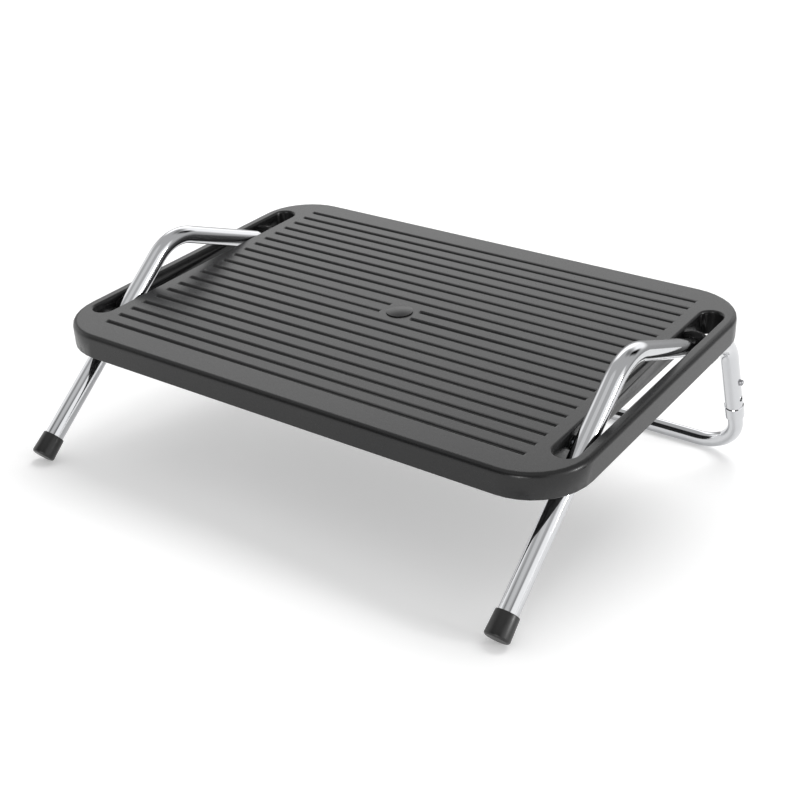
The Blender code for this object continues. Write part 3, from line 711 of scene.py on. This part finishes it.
class FOOTREST_OT_platform(bpy.types.Operator):
    """Dress the moulded platform"""

    bl_idname = "footrest.platform"
    bl_label = "Platform"

    def execute(self, context):
        piece = merged_copy("platform")
        grooves = groove_tools()
        put(grooves, platform_axes())
        cut(piece, grooves)
        for side in SIDES.values():
            rounding = slot_rounding_tool(side)
            put(rounding, platform_axes())
            cut(piece, rounding)
        dress(piece, "platform", "frame", "black_plastic")
        turn = platform_axes().to_3x3()
        ways = [Vector(way) for way in ((1, 0, 0), (-1, 0, 0), (0, 1, 0), (0, -1, 0), (0, 0, 1), (0, 0, -1))]
        settle_flats(piece, [turn @ way for way in ways])
        return {"FINISHED"}


class FOOTREST_OT_side_tubes(bpy.types.Operator):
    """Bend and drill the two chromed side tubes"""

    bl_idname = "footrest.side_tubes"
    bl_label = "Side tubes"

    def execute(self, context):
        s = sizes()
        for word, side in SIDES.items():
            name = f"side_tube_{word}_plated"
            bends = (s.front_bend, s.rear_bend)
            tube = bend_tube(name, side_tube_corners(word), bends, s.tube_radius, s.tube_wall)
            nub = nub_centre(side)
            down = slope(-s.sleeve_angle)
            reach = ACROSS * side * (s.tube_radius + OVERRUN)
            for hole in (nub, nub + down * s.height_step):
                drill(tube, hole, hole + reach, s.nub_radius + s.nub_clearance)
            dress(tube, f"side_tube_{word}", "frame", "chrome")
        return {"FINISHED"}


class FOOTREST_OT_rear_bar(bpy.types.Operator):
    """Bend and drill the sliding rear bar"""

    bl_idname = "footrest.rear_bar"
    bl_label = "Rear bar"

    def execute(self, context):
        s = sizes()
        bends = (s.bar_bend, s.bar_bend)
        bar = bend_tube("rear_u_bar_plated", rear_bar_corners(), bends, s.bar_radius, s.tube_wall)
        for side in SIDES.values():
            nub = nub_centre(side)
            drill(bar, nub, nub + ACROSS * side * (s.bar_radius + OVERRUN), s.nub_radius + s.nub_clearance)
        dress(bar, "rear_u_bar", "rear_bar", "chrome")
        return {"FINISHED"}


class FOOTREST_OT_ferrules(bpy.types.Operator):
    """Roll the thin rings round the sleeves' mouths"""

    bl_idname = "footrest.ferrules"
    bl_label = "Ferrules"

    def execute(self, context):
        s = sizes()
        inner = s.tube_radius + HAIR
        outer = s.tube_radius + s.tube_fit + s.ferrule_wall
        mouth = s.bar_radius + s.bar_fit
        edge = s.ferrule_edge
        rounding = quarter(outer - edge, edge - s.ferrule_lip, edge, -90, 0, FERRULE_EDGE_STEPS)
        for word in SIDES:
            profile = [(mouth, -s.ferrule_lip), *rounding]
            profile += [(outer, s.ferrule_length - (outer - inner)), (inner, s.ferrule_length)]
            profile += [(inner, -HAIR), (mouth, -HAIR)]
            ring = raise_disc(f"sleeve_ferrule_{word}_plated", profile)
            with editing(ring, select=False):
                select_where("faces", lambda face: len(face.verts) == TURNED_SIDES)
                bpy.ops.mesh.bridge_edge_loops()
            put(ring, axes_at(side_tube_corners(word)[-1], -slope(-s.sleeve_angle)))
            dress(ring, f"sleeve_ferrule_{word}", "frame", "chrome")
        return {"FINISHED"}


class FOOTREST_OT_foot_caps(bpy.types.Operator):
    """Mould the rubber caps on the front feet"""

    bl_idname = "footrest.foot_caps"
    bl_label = "Foot caps"

    def execute(self, context):
        s = sizes()
        leg = slope(s.leg_angle)
        bore = s.tube_radius + s.tube_fit
        for word in SIDES:
            profile = quarter(s.cap_bottom - s.cap_edge, s.cap_edge, s.cap_edge, -90, 0)
            profile += quarter(s.cap_top - s.cap_rim, s.cap_height - s.cap_rim, s.cap_rim, 0, 90, RIM_STEPS)
            profile += [(bore, s.cap_height), (bore, s.cap_floor)]
            cap = raise_disc(f"foot_cap_{word}_moulded", profile)
            put(cap, axes_at(side_tube_corners(word)[0] - leg * (s.cap_floor + s.cap_seat), leg))
            dress(cap, f"foot_cap_{word}", "frame", "rubber")
        return {"FINISHED"}


class FOOTREST_OT_small_parts(bpy.types.Operator):
    """Dress the plug, the straps, the washers and the spacers"""

    bl_idname = "footrest.small_parts"
    bl_label = "Plug, straps, washers and spacers"

    def execute(self, context):
        nodes = ["centre_plug"]
        stems = ("rear_strap", "front_washer", "front_spacer")
        nodes += [f"{stem}_{word}" for word in SIDES for stem in stems]
        for node in nodes:
            dress(merged_copy(node), node, "frame", "black_plastic")
        return {"FINISHED"}


class FOOTREST_OT_screws(bpy.types.Operator):
    """Dress the screws"""

    bl_idname = "footrest.screws"
    bl_label = "Screws"

    def execute(self, context):
        stems = ("strap_screw_inner", "strap_screw_outer", "front_screw")
        for node in [f"{stem}_{word}" for word in SIDES for stem in stems]:
            dress(merged_copy(node), node, "frame", "zinc")
        return {"FINISHED"}


class FOOTREST_OT_snap_buttons(bpy.types.Operator):
    """Dress the snap buttons"""

    bl_idname = "footrest.snap_buttons"
    bl_label = "Snap buttons"

    def execute(self, context):
        for word, side in SIDES.items():
            node = f"snap_button_{word}"
            button = merged_copy(node)
            dress(button, node, None, "spring_steel")
            # The nub's arm of the leaf bends in when pressed, and the other arm stays against the bar's wall
            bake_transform(button)
        return {"FINISHED"}


# Stage, lights and camera

# Distances are in metres and angles in degrees
FLOOR_RADIUS = 7.0
CAMERA_AZIMUTH = 33.41
CAMERA_PITCH = 21.22
CAMERA_ROLL = 3.85
CAMERA_PLACE = Vector((561.8, -866.9, 453.4)) * MM
SENSOR_WIDTH = 36.0
CAMERA_LENS = 60.3
LIGHT_TARGET = Vector((0, 0, 100)) * MM
LIGHT_DISTANCE = 1.3

# How bright the studio looks in a reflection, in patches that cover one another in this order.
# Azimuths are in degrees left of the rear: middle, half width, lowest and highest elevation, fade, level.
CEILING_LEVEL = 0.6
STUDIO_PATCHES = {
    "far_wall": (0, 180, -90, 11, 5, 0.42),
    "rear_softbox": (16, 40, 17, 46, 7, 1.5),
    "rear_left_softbox": (38, 26, 24, 46, 7, 1.95),
    "right_softbox": (-98, 29, 0, 38, 5, 1.35),
    "left_wall": (96, 22, 0, 29, 8, 1.3),
    "front_ceiling": (175, 32, 49, 75, 5, 0.85),
    "dark_front": (180, 52, -90, 43, 6, 0.03),
    "dark_right_rear": (-33, 9, 26, 56, 6, 0.0),
    "dim_rear_ceiling": (-5, 24, 55, 70, 6, 0.3),
}
FILL_LEVEL = 0.52
FLOOR_GLOW = 0.285
FLOOR_ROUGHNESS = 0.8

# Distant round softboxes: azimuth, elevation, angle across, strength, and whether the footrest mirrors them
SOFTBOXES = {
    "front_strobe": (-168, 8, 11, 0.75, True),
    "right_strobe": (-76, 14, 11, 1.0, True),
    "ceiling_softbox": (5, 62, 42, 1.4, False),
}


def sight(azimuth, elevation):
    """A direction, in degrees left of the rear and above the floor."""
    turn, rise = math.radians(azimuth), math.radians(elevation)
    return Vector((-math.sin(turn) * math.cos(rise), math.cos(turn) * math.cos(rise), math.sin(rise)))


def make_camera():
    """A camera at the photograph's viewing angle."""
    view = sight(CAMERA_AZIMUTH, -CAMERA_PITCH)
    level = sight(CAMERA_AZIMUTH - 90, 0)
    upright = level.cross(view)
    roll = math.radians(CAMERA_ROLL)
    right = level * math.cos(roll) + upright * math.sin(roll)
    up = upright * math.cos(roll) - level * math.sin(roll)
    turn = Matrix((right, up, -view)).transposed().to_4x4()
    deselect()
    bpy.ops.object.camera_add()
    camera = bpy.context.active_object
    camera.matrix_world = Matrix.Translation(CAMERA_PLACE) @ turn
    camera.data.lens = CAMERA_LENS
    camera.data.sensor_width = SENSOR_WIDTH
    bpy.context.scene.camera = camera


def make_floor():
    deselect()
    bpy.ops.mesh.primitive_circle_add(vertices=FLOOR_SIDES, radius=FLOOR_RADIUS, fill_type="NGON")
    floor = name_new("floor")
    paper = new_material("floor_paper")[0]
    show_surface(paper, {
        "Base Color": (*colours().floor, 1),
        "Roughness": FLOOR_ROUGHNESS,
        "Emission Color": (1, 1, 1, 1),
        "Emission Strength": FLOOR_GLOW,
    })
    floor.data.materials.append(paper)


def add_softbox(name, azimuth, elevation, angle_across, strength, mirrored):
    """A distant round softbox, which lights all of the floor alike."""
    heading = sight(azimuth, elevation)
    deselect()
    bpy.ops.object.light_add(type="SUN", location=LIGHT_TARGET + heading * LIGHT_DISTANCE)
    light = bpy.context.active_object
    light.name = name
    light.data.angle = math.radians(angle_across)
    light.data.energy = strength
    light.visible_glossy = mirrored
    light.rotation_euler = (-heading).to_track_quat("-Z", "Y").to_euler()


def studio_patch(world, direction, rise, middle, half_width, low, high, fade):
    """A mask for one patch of the studio, soft at its edges."""
    ahead, aside = ({0: direction, 1: sight(way, 0)} for way in (middle, middle + 90))
    ahead = add_node(world, "ShaderNodeVectorMath", ahead, "Value", operation="DOT_PRODUCT")
    aside = add_node(world, "ShaderNodeVectorMath", aside, "Value", operation="DOT_PRODUCT")
    turn = add_node(world, "ShaderNodeMath", {0: aside, 1: ahead}, 0, operation="ARCTAN2")
    turn = add_node(world, "ShaderNodeMath", {0: turn}, 0, operation="ABSOLUTE")
    mask = 1.0
    for value, edge, step in ((turn, half_width, -fade), (rise, low, fade), (rise, high, -fade)):
        outer, inner = math.radians(edge - step), math.radians(edge + step)
        inputs = {"Value": value, "From Min": outer, "From Max": inner}
        inside = add_node(world, "ShaderNodeMapRange", inputs, "Result", interpolation_type="SMOOTHSTEP")
        mask = add_node(world, "ShaderNodeMath", {0: mask, 1: inside}, 0, operation="MULTIPLY")
    return mask


def make_world():
    """The studio as the footrest mirrors it; the camera itself sees a white backdrop."""
    world = bpy.data.worlds.new("studio")
    world.use_nodes = True
    bpy.context.scene.world = world
    world.node_tree.nodes.clear()
    direction = add_node(world, "ShaderNodeTexCoord", output="Generated")
    height = add_node(world, "ShaderNodeSeparateXYZ", {"Vector": direction}, "Z")
    rise = add_node(world, "ShaderNodeMath", {0: height}, 0, operation="ARCSINE")
    path = add_node(world, "ShaderNodeLightPath").outputs
    patches = STUDIO_PATCHES.values()
    shifts = [(studio_patch(world, direction, rise, *place), other) for *place, other in patches]
    level = CEILING_LEVEL
    for mask, other in (*shifts, (path["Is Diffuse Ray"], FILL_LEVEL)):
        level = add_node(world, "ShaderNodeMix", {"Factor": mask, "A": level, "B": other}, "Result")
    studio = add_node(world, "ShaderNodeBackground", {"Strength": level, "Color": (1, 1, 1, 1)}, 0)
    backdrop = add_node(world, "ShaderNodeBackground", {"Color": (1, 1, 1, 1)}, 0)
    mixed = add_node(world, "ShaderNodeMixShader", {0: path["Is Camera Ray"], 1: studio, 2: backdrop}, 0)
    add_node(world, "ShaderNodeOutputWorld", {"Surface": mixed})


class FOOTREST_OT_stage(bpy.types.Operator):
    """Set up the floor, the lights and the camera"""

    bl_idname = "footrest.stage"
    bl_label = "Stage"

    def execute(self, context):
        make_floor()
        make_world()
        for name, settings in SOFTBOXES.items():
            add_softbox(name, *settings)
        make_camera()
        context.scene.view_settings.view_transform = "Standard"
        return {"FINISHED"}


class FOOTREST_PT_panel(bpy.types.Panel):
    """Lists the footrest's pieces, sizes and colours"""

    bl_idname = "FOOTREST_PT_panel"
    bl_label = "Footrest"
    bl_space_type = "VIEW_3D"
    bl_region_type = "UI"
    bl_category = "Footrest"

    def draw(self, context):
        for operator in OPERATORS:
            self.layout.operator(operator.bl_idname)
        for group in (sizes(), colours()):
            for name in group.__annotations__:
                self.layout.prop(group, name)


OPERATORS = (
    FOOTREST_OT_platform,
    FOOTREST_OT_side_tubes,
    FOOTREST_OT_rear_bar,
    FOOTREST_OT_ferrules,
    FOOTREST_OT_foot_caps,
    FOOTREST_OT_small_parts,
    FOOTREST_OT_screws,
    FOOTREST_OT_snap_buttons,
    FOOTREST_OT_stage,
)
CLASSES = (FootrestSizes, FootrestColours, *OPERATORS, FOOTREST_PT_panel)


def register():
    for item in CLASSES:
        bpy.utils.register_class(item)
    bpy.types.Scene.footrest_sizes = bpy.props.PointerProperty(type=FootrestSizes)
    bpy.types.Scene.footrest_colours = bpy.props.PointerProperty(type=FootrestColours)


def unregister():
    del bpy.types.Scene.footrest_sizes
    del bpy.types.Scene.footrest_colours
    for item in reversed(CLASSES):
        bpy.utils.unregister_class(item)


def main():
    register()
    for operator in OPERATORS:
        group, name = operator.bl_idname.split(".")
        getattr(getattr(bpy.ops, group), name)()


if __name__ == "__main__":
    main()
